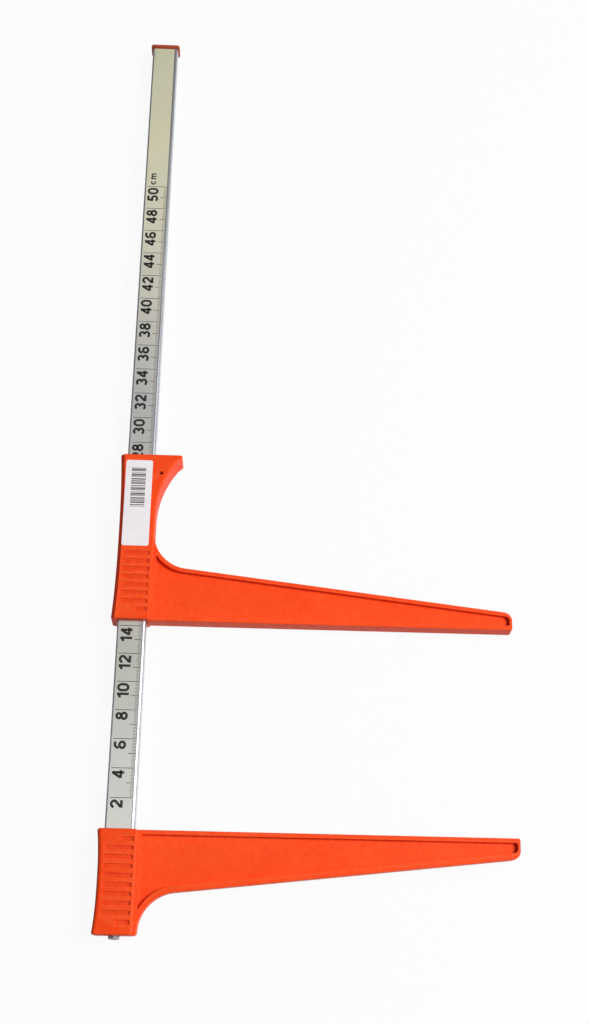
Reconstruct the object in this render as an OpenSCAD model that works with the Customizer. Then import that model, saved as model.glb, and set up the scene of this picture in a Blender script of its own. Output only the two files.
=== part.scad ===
// Tree caliper: a ruled aluminium beam with a fixed jaw at its foot and a jaw that slides along it.
// Millimetres. The caliper lies on its back: +Z is the scale side, the beam runs along +Y from the
// fixed jaw's measuring face at y = 0, the jaws point to +X, and the jaws' heads rest on z = 0.

/* [Beam] */
// Width of the beam, across the scale
beam_w = 20; // [18:0.5:24]
// Thickness of the beam
beam_t = 9; // [8:0.25:11]
// Wall of the hollow beam
beam_wall = 1.3; // [1:0.1:1.6]
// Radius of the beam's four long corners
beam_r = 0.9; // [0.4:0.1:1.1]
// Length of beam from the scale's zero to the cap
beam_reach = 634; // [560:1:760]

/* [Scale strip] */
// Thickness of the printed strip
strip_t = 0.25; // [0.15:0.05:0.4]
// Depth of the strip's face below the beam's own
strip_sink = 0.05; // [0.02:0.01:0.1]
// Bare beam left of the strip
strip_left = 1.2; // [1:0.1:3]
// Bare beam right of the strip
strip_right = 2.6; // [1:0.1:3]

/* [End cap] */
// Thickness of the cap's flange
cap_t = 2; // [1.5:0.1:4]
// How far the flange stands out beside the beam
cap_side = 1.4; // [0.5:0.1:2]
// How far the flange stands out over the beam's front and back
cap_front = 2.5; // [0.5:0.1:3.5]
// Length of the cap's plug inside the beam
cap_plug = 15; // [8:0.5:30]

/* [Heads] */
// Plastic over the beam's front and back
cover = 5.5; // [5:0.25:8]
// Narrowest plastic on the beam's left
left_wall = 2.6; // [2.4:0.1:5]
// Plastic on the beam's right
right_wall = 2.5; // [2:0.1:4]
// How much further the left side stands out at a head's ends
flare = 1.8; // [0:0.1:3]
// How late that flare begins, as a power of the distance from a head's middle
flare_power = 2.5; // [2:0.1:4]
// Bevel along a head's edges
head_edge = 1; // [0.5:0.1:1.6]
// Corner radius of a head's outline
head_r = 2; // [1.8:0.1:3]

/* [Arms] */
// Reach of an arm from the beam's right side
arm_reach = 254.5; // [150:0.5:300]
// Thickness of an arm
arm_t = 12; // [9:0.5:16]
// Depth of an arm at the beam's middle
root_depth = 43.5; // [36:0.5:50]
// Depth of an arm at its tip
tip_depth = 12.5; // [11:0.1:20]
// Radius between an arm's back and its head, where the head is long enough for it
root_r = 25.5; // [12:0.5:30]
// Radius of an arm's outer corner
tip_r = 6; // [3:0.5:7]
// Radius of an arm's corner on its measuring face
face_r = 1.5; // [1.2:0.1:2]
// Bevel along an arm's edges
arm_edge = 0.8; // [0.3:0.1:1]
// Width of the rim round an arm's pocket
rim = 3; // [2:0.1:4]
// Depth of the pocket on each side of an arm
pocket = 3.5; // [1:0.1:3.8]

/* [Fixed jaw] */
// Depth of the socket that takes the beam
socket_depth = 60; // [45:0.5:80]
// Plastic under the beam's foot
end_wall = 8.8; // [7:0.1:12]
// Extra plastic on the right of the fixed jaw's head
foot_w = 2.1; // [0.5:0.1:4]
// How much shorter the fixed jaw's foot is at the back than at the front
foot_lean = 2.5; // [0:0.1:4]
// Clearance round the beam in the socket
fit_gap = 0.1; // [0.02:0.01:0.2]

/* [Sliding jaw] */
// Distance between the measuring faces where the sliding jaw stands
opening = 144.7; // [5:0.1:450]
// Length of the sliding jaw's head
slide_l = 124.8; // [110:0.1:160]
// Clearance round the beam in the head
slot_gap = 0.4; // [0.3:0.05:0.6]
// Radius of the hollow under the thumb rest
wing_r = 70; // [60:0.5:100]
// Length of the thumb rest, from the head's top down
wing_l = 47; // [44:0.5:54]
// Diameter of the cord hole in the thumb rest
cord_d = 3; // [2:0.1:4]
// Distance of the cord hole from the beam's right side
cord_x = 5.3; // [4.5:0.1:8]
// Distance of the cord hole from the head's top
cord_y = 14.6; // [10:0.1:16]

/* [Grip grooves] */
// Height of a groove
groove_h = 3; // [1.5:0.1:4]
// Distance from one groove to the next
groove_pitch = 5.95; // [5:0.05:7]
// Depth of a groove
groove_depth = 1.1; // [0.3:0.1:1.6]
// Bare plastic left and right of the grooves
groove_margin = 1; // [0.5:0.1:3]
// Distance of the first groove from the measuring face
groove_start = 6.9; // [5:0.1:9]

/* [Glides] */
// Clearance between a glide and the beam
run_gap = 0.06; // [0.03:0.01:0.1]
// Length of each glide along the beam
glide_l = 20; // [12:0.5:26]
// Distance of each glide from the head's end
glide_end = 6; // [4:0.5:10]
// Thickness of the glides beside the beam
shoe_t = 1.6; // [1.2:0.1:1.8]
// Width of the glides beside the beam
shoe_w = 5; // [3:0.5:6]
// Thickness of the glides over and under the beam
pad_t = 2; // [1.2:0.1:2.4]
// Width of the glides over and under the beam
pad_w = 12; // [8:0.5:15]
// Clearance round a glide in its pocket
pocket_gap = 0.1; // [0.05:0.01:0.2]
// Diameter of the adjusting screws behind the glides under the beam
adjuster_d = 4; // [3:0.5:5]
// Depth of an adjusting screw below the head's back
adjuster_sink = 0.4; // [0.1:0.1:0.8]

/* [Clamp bolt] */
// Diameter of the bolt
bolt_d = 4; // [3:0.5:4.5]
// Length of the bolt under its head
bolt_l = 20; // [14:0.5:30]
// Width of the bolt's head across its flats
bolt_af = 7; // [6:0.5:7.5]
// Height of the bolt's head
bolt_h = 2.8; // [2:0.1:4]
// Depth of the bolt's seat below the foot's end
bolt_sink = 1.8; // [0.5:0.1:3]
// Clearance round the bolt in the head's wall
bolt_gap = 0.2; // [0.1:0.05:0.4]
// Outer diameter of the washer
washer_d = 9; // [8:0.5:12]
// Thickness of the washer
washer_t = 0.8; // [0.5:0.1:1.2]
// Clearance round the washer in its recess
washer_gap = 0.2; // [0.1:0.05:0.5]

/* [Anchor] */
// Length of the threaded plug in the beam's foot
plug_l = 16; // [10:0.5:24]
// Clearance round the plug in the beam
plug_gap = 0.1; // [0.05:0.01:0.2]
// How far the plug stands back from the beam's foot
plug_back = 0.5; // [0.2:0.1:2]
// Diameter of the two pins that hold the plug
pin_d = 2.5; // [2:0.1:3]
// Distance of each pin from the beam's middle
pin_x = 5.5; // [4.5:0.1:6]

/* [Label] */
// Width of the plain label
label_w = 19; // [10:0.5:20]
// Length of the plain label
label_l = 65.9; // [30:0.1:68]
// Thickness of the label
label_t = 0.15; // [0.1:0.05:0.3]
// Distance of the label's top from the head's top
label_top = 5.1; // [3:0.1:8]
// Distance of the label's middle left of the beam's middle
label_left = 0.6; // [0:0.1:1]
// Corner radius of the label
label_r = 1.5; // [0.5:0.1:3]

/* [Hidden] */

$fn = 48;

// Cuts run this far past a face
past = 1;
// Points along the curved sides
curve_points = 12;
corner_points = 4;

orange = [0.96, 0.27, 0.08];
bare_aluminium = [0.80, 0.81, 0.82];
zinc = [0.70, 0.71, 0.73];
print_grey = [0.80, 0.80, 0.74];
glide_white = [0.93, 0.92, 0.88];
brass = [0.79, 0.64, 0.32];

head_t = beam_t + 2 * cover;
middle_z = head_t / 2;
half_w = beam_w / 2;
half_t = beam_t / 2;
waist_x = half_w + left_wall;
ridge_x = half_w + right_wall;
tip_x = half_w + arm_reach;
fixed_l = socket_depth + end_wall;
bolt_seat = fixed_l - bolt_sink;
arm_bottom = middle_z - arm_t / 2;
arm_top = middle_z + arm_t / 2;

// The hollow under the thumb rest leaves the head's right side here
wing_y = slide_l - wing_l;

// The arm's back leans to its measuring face by this angle
taper = (root_depth - tip_depth) / tip_x;
lean = atan(taper);

// The sliding jaw's neck ends just above its root's curve
neck_top = root_centre(ridge_x, root_r).y + 2 * head_r;

hollow_w = beam_w - 2 * beam_wall;
hollow_t = beam_t - 2 * beam_wall;
strip_w = beam_w - strip_left - strip_right;
strip_x = (strip_left - strip_right) / 2;
strip_groove = strip_t + strip_sink;
strip_side_gap = 0.1;
strip_end_gap = 0.5;

// A glide's inner face is a running fit on the beam, and its outer face lies on its pocket's floor
shoe_floor = half_w + run_gap + shoe_t;
pad_floor = half_t + run_gap + pad_t;
lower_y = glide_end + glide_l / 2;
upper_y = slide_l - glide_end - glide_l / 2;

washer_bore = bolt_d + 2 * bolt_gap;
adjuster_l = middle_z - pad_floor - adjuster_sink;
adjuster_socket = adjuster_d / 2;
plug_foot = -socket_depth + plug_back;
pin_y = plug_foot + plug_l / 2;
groove_right = half_w;
groove_left = groove_margin - half_w;

// Grooves fill the fixed jaw's head, and the sliding jaw's head up to its label
fixed_grooves = groove_count(fixed_l);
sliding_grooves = groove_count(slide_l - label_top - label_l);

// As many grooves as find room on l of a head
function groove_count(l) = floor((l - groove_start - groove_h) / groove_pitch) + 1;

// Points on an arc from one angle to another
function arc(centre, r, from, to, steps) = [
    for (i = [0:steps])
        let (a = from + (to - from) * i / steps)
        centre + r * [cos(a), sin(a)]
];

function unit(v) = v / norm(v);

// The same outline moved inwards by c, for points that run anticlockwise
function inset(points, c) =
    let (n = len(points))
    [for (i = [0:n - 1])
        let (
            before = unit(points[i] - points[(i + n - 1) % n]),
            after = unit(points[(i + 1) % n] - points[i]),
            turn_in = [-before.y, before.x],
            turn_out = [-after.y, after.x]
        )
        points[i] + c * (turn_in + turn_out) / (1 + turn_in * turn_out)];

// A head's left side, drawn in at the middle for the hand, from its far end down to y = 0
function waist(l) = [
    for (i = [1:curve_points - 1])
        let (y = l * (1 - i / curve_points))
        [-waist_x - flare * pow(abs(2 * y / l - 1), flare_power), y]
];

// The arm's back at x, moved in by e
function back_y(x, e) = tip_depth + taper * (tip_x - x) - e / cos(lean);

// The root's radius, limited by the neck's length up to y = top
function root_fit(neck, top) =
    min(root_r, (top - head_r - back_y(neck, 0)) / (1 / cos(lean) - taper));

function root_centre(neck, r) =
    let (x = neck + r)
    [x, back_y(x, 0) + r / cos(lean)];

// Measuring face, tip and back of an arm, moved in by e
function arm_edge_points(e) = concat(
    arc([tip_x - e - face_r, e + face_r], face_r, -90, 0, corner_points),
    arc(
        [tip_x - max(tip_r, e + face_r), back_y(tip_x - max(tip_r, e + face_r), 0)
            - max(tip_r, e + face_r) / cos(lean)],
        max(tip_r - e, face_r), 0, 90 - lean, corner_points
    )
);

// An arm with its measuring face on y = 0, whose neck runs up to y = top
function arm_outline(neck, top) =
    let (r = root_fit(neck, top))
    concat(
        [[0, 0]],
        arm_edge_points(0),
        arc(root_centre(neck, r), r, 270 - lean, 180, curve_points),
        arc([neck - head_r, top - head_r], head_r, 0, 90, corner_points),
        [[0, top]]
    );

// The hollow inside an arm's rim, which starts where the head's slope ends
function pocket_outline(neck, top, left) =
    let (
        centre = root_centre(neck, root_fit(neck, top)),
        r = root_fit(neck, top) + rim,
        stop = 360 - acos((left - centre.x) / r)
    )
    concat(
        [[left, rim]],
        arm_edge_points(rim),
        arc(centre, r, 270 - lean, stop, curve_points)
    );

function fixed_head_outline() = concat(
    arc([ridge_x - head_r, head_r], head_r, -90, 0, corner_points),
    arc([ridge_x - head_r, fixed_l - head_r], head_r, 0, 90, corner_points),
    arc([head_r - waist_x - flare, fixed_l - head_r], head_r, 90, 180, corner_points),
    waist(fixed_l),
    arc([head_r - waist_x - flare, head_r], head_r, 180, 270, corner_points)
);

// The thumb rest's lower side is an arc that leaves the head's right side at wing_y
function sliding_head_outline() =
    let (
        rise = slide_l - head_r - wing_y,
        stop = 180 - asin(rise / wing_r),
        wing = arc([ridge_x + wing_r, wing_y], wing_r, 180, stop, curve_points),
        end = wing[curve_points]
    )
    concat(
        arc([ridge_x - head_r, head_r], head_r, -90, 0, corner_points),
        wing,
        [[end.x + head_r / 2, slide_l - head_r / 4], [end.x, slide_l]],
        arc([head_r - waist_x - flare, slide_l - head_r], head_r, 90, 180, corner_points),
        waist(slide_l),
        arc([head_r - waist_x - flare, head_r], head_r, 180, 270, corner_points)
    );

// A flat plate with the given outline and a bevel round both faces, whose faces fan out from a hub
// that sees the whole outline
module bevelled_plate(outline, hub, bottom, top, bevel) {
    n = len(outline);
    inner = inset(outline, bevel);
    levels = [[inner, bottom], [outline, bottom + bevel], [outline, top - bevel], [inner, top]];
    last = len(levels) - 1;
    points = concat(
        [for (level = levels) for (p = level[0]) [p.x, p.y, level[1]]],
        [[hub.x, hub.y, bottom], [hub.x, hub.y, top]]
    );
    low_hub = len(points) - 2;
    high_hub = len(points) - 1;
    sides = [
        for (k = [0:last - 1])
            for (i = [0:n - 1])
                [k * n + i, (k + 1) * n + i, (k + 1) * n + (i + 1) % n, k * n + (i + 1) % n]
    ];
    low_fan = [for (i = [0:n - 1]) [low_hub, i, (i + 1) % n]];
    high_fan = [for (i = [0:n - 1]) [high_hub, last * n + (i + 1) % n, last * n + i]];
    polyhedron(points, concat(sides, low_fan, high_fan), convexity = 6);
}

// A profile swept along the beam, with the profile's y pointing to the scale side
module along_beam(from, to)
    translate([0, to, middle_z])
        rotate([90, 0, 0])
            linear_extrude(to - from)
                children();

module rounded_profile(w, t, r) {
    square([w - 2 * r, t], center = true);
    square([w, t - 2 * r], center = true);
    for (x = [-1, 1], y = [-1, 1])
        translate([x * (w / 2 - r), y * (t / 2 - r)])
            circle(r);
}

// A jaw with its measuring face on y = 0 and its head above it, whose neck runs up to y = top
module jaw_body(head_points, head_hub, neck, top) {
    bevelled_plate(head_points, head_hub, 0, head_t, head_edge);
    bevelled_plate(arm_outline(neck, top), [neck / 2, rim], arm_bottom, arm_top, arm_edge);
}

// The pockets on the two sides of an arm
module arm_pockets(neck, top) {
    left = ridge_x + foot_w;
    for (z = [arm_bottom - past, arm_top - pocket])
        translate([0, 0, z])
            linear_extrude(pocket + past)
                polygon(pocket_outline(neck, top, left));
}

// What is cut off the fixed jaw's foot, so that its end leans in towards the back
module foot_slope()
    translate([-beam_w, 0, 0])
        rotate([90, 0, 90])
            linear_extrude(2 * beam_w)
                polygon([
                    [fixed_l, head_t], [fixed_l - foot_lean, 0], [fixed_l - foot_lean, -past],
                    [fixed_l + past, -past], [fixed_l + past, head_t]
                ]);

// Grip grooves across the front of a head, of which those in half_at are half as long
module grip_grooves(count, half_at) {
    for (i = [0:count - 1])
        let (left = len(search(i, half_at)) > 0 ? groove_margin : groove_left)
            translate([left, groove_start + i * groove_pitch - groove_h / 2, head_t - groove_depth])
                cube([groove_right - left, groove_h, groove_depth + past]);
}

module beam() {
    color(bare_aluminium)
        difference() {
            along_beam(-socket_depth, beam_reach)
                difference() {
                    rounded_profile(beam_w, beam_t, beam_r);
                    square([hollow_w, hollow_t], center = true);
                    translate([strip_x, half_t])
                        square([strip_w + 2 * strip_side_gap, 2 * strip_groove], center = true);
                }
            pin_places(head_t, 0);
        }
}

module scale_strip() {
    color(print_grey)
        along_beam(strip_end_gap, beam_reach - strip_end_gap)
            translate([strip_x - strip_w / 2, half_t - strip_groove])
                square([strip_w, strip_t]);
}

module end_cap() {
    color(orange) {
        along_beam(beam_reach, beam_reach + cap_t)
            rounded_profile(beam_w + 2 * cap_side, beam_t + 2 * cap_front, head_r);
        along_beam(beam_reach - cap_plug, beam_reach + cap_t / 2)
            square([hollow_w - 2 * plug_gap, hollow_t - 2 * plug_gap], center = true);
    }
}

module pin_places(l, z)
    for (x = [-pin_x, pin_x])
        translate([x, pin_y, z])
            cylinder(h = l, d = pin_d);

module along_bolt(from, l, d)
    translate([0, from, middle_z])
        rotate([-90, 0, 0])
            cylinder(h = l, d = d);

module fixed_jaw() {
    neck = ridge_x + foot_w;
    color(orange)
        difference() {
            mirror([0, 1, 0])
                difference() {
                    jaw_body(fixed_head_outline(), [0, fixed_l / 2], neck, fixed_l);
                    foot_slope();
                    arm_pockets(neck, fixed_l);
                    grip_grooves(fixed_grooves, [0, fixed_grooves - 1]);
                }
            along_beam(-socket_depth, past)
                square([beam_w + 2 * fit_gap, beam_t + 2 * fit_gap], center = true);
            along_bolt(-fixed_l - past, end_wall + 2 * past, washer_bore);
            along_bolt(-fixed_l - past, bolt_sink + washer_t + past, washer_d + 2 * washer_gap);
        }
}

module clamp_bolt() {
    corner_d = bolt_af / cos(30);
    crown_d = 0.95 * bolt_af;
    color(zinc) {
        along_bolt(-bolt_seat, bolt_l, bolt_d);
        translate([0, -bolt_seat, middle_z])
            rotate([90, 30, 0])
                intersection() {
                    cylinder(h = bolt_h, d = corner_d, $fn = 6);
                    cylinder(h = bolt_h, d1 = crown_d + 2 * bolt_h / tan(30), d2 = crown_d);
                }
    }
}

module bolt_washer() {
    color(zinc)
        difference() {
            along_bolt(-bolt_seat, washer_t, washer_d);
            along_bolt(-bolt_seat - past, washer_t + 2 * past, washer_bore);
        }
}

module anchor_plug() {
    color(zinc)
        difference() {
            along_beam(plug_foot, plug_foot + plug_l)
                square([hollow_w - 2 * plug_gap, hollow_t - 2 * plug_gap], center = true);
            along_bolt(plug_foot - past, plug_l + 2 * past, bolt_d);
            pin_places(head_t, 0);
        }
}

module anchor_pins() {
    color(zinc)
        pin_places(beam_t, middle_z - half_t);
}

module at_opening()
    translate([0, opening, 0])
        children();

// The space of one glide beside the beam, wider by gap along its pocket
module shoe_space(side, y, gap, inner) {
    depth = shoe_floor - inner;
    translate([side * (inner + depth / 2), y, middle_z])
        cube([depth, glide_l + 2 * gap, shoe_w + 2 * gap], center = true);
}

// The space of one glide over or under the beam
module pad_space(side, y, gap, inner) {
    depth = pad_floor - inner;
    translate([0, y, middle_z + side * (inner + depth / 2)])
        cube([pad_w + 2 * gap, glide_l + 2 * gap, depth], center = true);
}

module sliding_jaw() {
    color(orange)
        at_opening()
            difference() {
                jaw_body(sliding_head_outline(), [0, (wing_y + slide_l) / 2], ridge_x, neck_top);
                arm_pockets(ridge_x, neck_top);
                grip_grooves(sliding_grooves, [0]);
                along_beam(-past, slide_l + past)
                    square([beam_w + 2 * slot_gap, beam_t + 2 * slot_gap], center = true);
                for (y = [lower_y, upper_y], side = [-1, 1]) {
                    shoe_space(side, y, pocket_gap, half_w - past);
                    pad_space(side, y, pocket_gap, half_t - past);
                }
                for (y = [lower_y, upper_y])
                    translate([0, y, -past])
                        cylinder(h = middle_z - pad_floor + 2 * past, d = adjuster_d);
                translate([half_w + cord_x, slide_l - cord_y, -past])
                    cylinder(h = head_t + 2 * past, d = cord_d);
            }
}

module shoe(side, y)
    color(glide_white)
        at_opening()
            shoe_space(side, y, 0, half_w + run_gap);

module pad(side, y)
    color(glide_white)
        at_opening()
            pad_space(side, y, 0, half_t + run_gap);

module adjuster(y)
    color(brass)
        at_opening()
            translate([0, y, adjuster_sink])
                difference() {
                    cylinder(h = adjuster_l, d = adjuster_d);
                    translate([0, 0, -past])
                        cylinder(h = adjuster_l / 2 + past, d = adjuster_socket / cos(30), $fn = 6);
                }

module label() {
    color("white")
        at_opening()
            translate([-label_left, slide_l - label_top - label_l / 2, head_t])
                linear_extrude(label_t)
                    rounded_profile(label_w, label_l, label_r);
}

beam();
scale_strip();
end_cap();
fixed_jaw();
clamp_bolt();
bolt_washer();
anchor_plug();
anchor_pins();
sliding_jaw();
label();
shoe(-1, lower_y);  // lower_left_shoe
shoe(-1, upper_y);  // upper_left_shoe
shoe(1, lower_y);  // lower_right_shoe
shoe(1, upper_y);  // upper_right_shoe
pad(1, lower_y);  // lower_front_pad
pad(1, upper_y);  // upper_front_pad
pad(-1, lower_y);  // lower_back_pad
pad(-1, upper_y);  // upper_back_pad
adjuster(lower_y);  // lower_adjuster
adjuster(upper_y);  // upper_adjuster
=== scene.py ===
# %% [markdown]
# # A tree caliper
#
# A forester closes two long jaws on a trunk and reads its thickness on the beam. This lesson dresses the CAD
# model of such a caliper: it keeps the solids that are right as they are, models rounder ones in place of the
# solids that are too plain, prints the scale, and lights the whole as on a photographer's white table.
#
# Everything is in metres, in the CAD model's frame. The caliper lies on its back, with the beam along Y, the
# jaws pointing to +X, and the scale's zero at y = 0.

# %% Load the frame
import math

import bpy
from mathutils import Matrix, Vector


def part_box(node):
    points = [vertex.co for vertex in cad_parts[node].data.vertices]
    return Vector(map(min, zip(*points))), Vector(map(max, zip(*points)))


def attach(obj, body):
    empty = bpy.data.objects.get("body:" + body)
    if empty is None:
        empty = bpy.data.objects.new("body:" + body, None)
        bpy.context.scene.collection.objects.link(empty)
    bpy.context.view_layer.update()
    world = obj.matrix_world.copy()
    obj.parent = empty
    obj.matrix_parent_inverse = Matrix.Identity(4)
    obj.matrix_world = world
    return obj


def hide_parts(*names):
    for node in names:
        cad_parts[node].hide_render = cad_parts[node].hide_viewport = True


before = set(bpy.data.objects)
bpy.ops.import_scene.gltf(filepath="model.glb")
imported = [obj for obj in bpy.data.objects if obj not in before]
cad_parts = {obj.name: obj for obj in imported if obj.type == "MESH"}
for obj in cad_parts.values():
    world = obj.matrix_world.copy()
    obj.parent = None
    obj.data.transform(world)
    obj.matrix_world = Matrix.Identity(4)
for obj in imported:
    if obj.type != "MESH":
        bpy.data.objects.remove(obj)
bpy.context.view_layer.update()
MM = 0.001

# %% [markdown]
# ## The camera
#
# The photo was taken from above the fixed jaw, looking along the beam, so the far end of the beam looks
# small. The picture's long side is its height, and Blender measures the lens on the long side. A lens of
# 56.25 mm on a 36 mm sensor gives the same view as the real one, and the place and turn come from the scale's
# own marks.

# %% Place the camera
camera_data = bpy.data.cameras.new("camera")
camera_data.sensor_width = 36
camera_data.lens = 56.25
camera = bpy.data.objects.new("camera", camera_data)
camera.location = (0.0840, -0.2128, 1.0684)
right = Vector((0.99932, 0.016716, 0.032859))
up = Vector((-0.028125, 0.921912, 0.386376))
turn = Matrix((right, up, right.cross(up))).transposed()
camera.rotation_euler = turn.to_euler()
bpy.context.scene.collection.objects.link(camera)
bpy.context.scene.camera = camera
print("camera turned by", [round(math.degrees(a), 2) for a in camera.rotation_euler])

# %% [markdown]
# ## Light and table
#
# In the photo the right edges of the jaws are bright and the left ones nearly brown. So one large soft panel
# stands high on the right, and the room adds only a little. The panel is well away from the spot that the
# jaws mirror to the camera, or its sheen would wash out the orange. The table is white, and most of its
# colour is light of its own that only the camera and mirror rays see. That keeps it white without lighting
# the caliper from below, while the rest still takes the shadow.


# %% Add the panel of light and the room
def panel(name, place, aim, size, power):
    data = bpy.data.lights.new(name, "AREA")
    data.shape = "DISK"
    data.size = size
    data.energy = power
    lamp = bpy.data.objects.new(name, data)
    lamp.location = place
    lamp.rotation_euler = (Vector(place) - Vector(aim)).to_track_quat("Z", "Y").to_euler()
    bpy.context.scene.collection.objects.link(lamp)


panel("main panel", place=(1.4, 0.12, 1.6), aim=(0.10, 0.25, 0.0), size=1.1, power=54.5)

room_light = 0.13
world = bpy.data.worlds.new("room")
bpy.context.scene.world = world
world.use_nodes = True
world.node_tree.nodes["Background"].inputs["Color"].default_value = (1, 1, 1, 1)
world.node_tree.nodes["Background"].inputs["Strength"].default_value = room_light
bpy.context.scene.view_settings.view_transform = "Standard"


# %% Lay the white table
def node(tree, kind, **inputs):
    """Adds a node and sets or links its inputs by name."""
    made = tree.nodes.new(kind)
    for name, value in inputs.items():
        socket = made.inputs[name.replace("_", " ")]
        if isinstance(value, bpy.types.NodeSocket):
            tree.links.new(value, socket)
        else:
            socket.default_value = value
    return made


own_light_share = 0.94
bpy.ops.mesh.primitive_plane_add(size=60)
table = bpy.context.object
table.name = "table"
table_white = bpy.data.materials.new("table white")
table_white.use_nodes = True
tree = table_white.node_tree
tree.nodes.clear()
paper = node(tree, "ShaderNodeBsdfDiffuse", Color=(0.62, 0.62, 0.62, 1))
glow = node(tree, "ShaderNodeEmission", Color=(1, 1, 1, 1), Strength=1.0)
seen = node(tree, "ShaderNodeLightPath")
either = node(tree, "ShaderNodeMath")
either.operation = "MAXIMUM"
tree.links.new(seen.outputs["Is Camera Ray"], either.inputs[0])
tree.links.new(seen.outputs["Is Glossy Ray"], either.inputs[1])
share = node(tree, "ShaderNodeMath")
share.operation = "MULTIPLY"
tree.links.new(either.outputs[0], share.inputs[0])
share.inputs[1].default_value = own_light_share
mix = node(tree, "ShaderNodeMixShader")
tree.links.new(share.outputs[0], mix.inputs["Fac"])
tree.links.new(paper.outputs["BSDF"], mix.inputs[1])
tree.links.new(glow.outputs["Emission"], mix.inputs[2])
surface = node(tree, "ShaderNodeOutputMaterial")
tree.links.new(mix.outputs["Shader"], surface.inputs["Surface"])
table.data.materials.append(table_white)
print("table, world and one panel of light")

# %% [markdown]
# ## Modelling by hand, in code
#
# Each piece starts as a block and is shaped in edit mode, as with the mouse. Three small helpers stand in for
# the mouse: one adds a block from corner to corner, one picks vertices, edges or faces by where they are, and
# one cuts straight across. Everything is deselected before each pick, because a new block is all selected.


# %% Helpers for edit mode
def mm(x, y, z):
    return Vector((x, y, z)) * MM


def block(name, low, high):
    bpy.ops.object.select_all(action="DESELECT")
    bpy.ops.mesh.primitive_cube_add(size=1, location=(low + high) / 2, scale=high - low)
    bpy.ops.object.transform_apply(location=True, rotation=True, scale=True)
    bpy.context.object.name = name
    return bpy.context.object


def near(a, b, slack=0.02 * MM):
    return abs(a - b) < slack


def pick(kind, test):
    """Selects the vertices, edges or faces of the piece in edit mode that pass the test."""
    bpy.ops.mesh.select_mode(type=kind)
    bpy.ops.mesh.select_all(action="DESELECT")
    bpy.ops.object.mode_set(mode="OBJECT")
    mesh = bpy.context.object.data
    if kind == "VERT":
        for vertex in mesh.vertices:
            vertex.select = test(vertex.co)
    elif kind == "EDGE":
        for edge in mesh.edges:
            a, b = (mesh.vertices[i].co for i in edge.vertices)
            edge.select = test(a, b)
    else:
        for face in mesh.polygons:
            face.select = test(face.center, face.normal)
    bpy.ops.object.mode_set(mode="EDIT")


def shift(x=0.0, y=0.0, z=0.0):
    bpy.ops.transform.translate(value=(x, y, z))


def cut_across(axis, place):
    """Cuts the whole piece in edit mode with a plane at right angles to the axis."""
    bpy.ops.mesh.select_all(action="SELECT")
    normal = Vector((axis == "x", axis == "y", axis == "z"))
    bpy.ops.mesh.bisect(plane_co=normal * place, plane_no=normal)


def edit():
    bpy.ops.object.mode_set(mode="EDIT")


def leave():
    bpy.ops.object.mode_set(mode="OBJECT")


# %% [markdown]
# ## The jaws' heads
#
# A head is the thick block that holds the beam. Its left side is drawn in a little at the middle, so that it
# sits well in the hand, and all its edges are round. A block cut across many times gives rows of vertices on
# the left side, and each row is moved in or out to its place on the curve.
#
# The two long edges on the left are rounded first, then the upright corners on the right. What is still sharp
# after that is one closed rim, and it is rounded last, all with one width. A rim that is rounder than the
# corner it runs round folds over itself. So the sliding head, whose thumb rest ends in a sharp tip, gets the
# narrower rim, and its tip is cut off first, and then both corners of that cut.

# %% Sizes that both jaws share
low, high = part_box("sliding_jaw")
slide_face = low.y
slide_length = high.y - low.y
tip_x = high.x
left_x = low.x
head_t = high.z
fixed_length = -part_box("fixed_jaw")[0].y
ridge_x = 12.5 * MM
waist_draw, waist_power = 1.8 * MM, 2.5
face_corner, far_corner = 2.3 * MM, 2.4 * MM
tip_cut, tip_corner = 3.2 * MM, 0.6 * MM
rows, end_room = 24, 5 * MM
almost_flat = math.radians(0.05)
sharp_turn = math.radians(50)
print("sliding head", round(slide_length / MM, 1), "mm, fixed head", round(fixed_length / MM, 1), "mm")


# %% Shape a head from a block
def is_upright(a, b):
    return near(a.x, b.x) and near(a.y, b.y)


def on_level(a, b, z):
    return near(a.z, z) and near(b.z, z)


def slope_end(length, lean_back):
    """Cuts the end of the piece in edit mode, so that it leans back towards z = 0."""
    normal = Vector((0, 1, -lean_back / head_t))
    bpy.ops.mesh.select_all(action="SELECT")
    place = Vector((0, length, head_t))
    bpy.ops.mesh.bisect(plane_co=place, plane_no=normal, use_fill=True, clear_outer=True)


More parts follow.
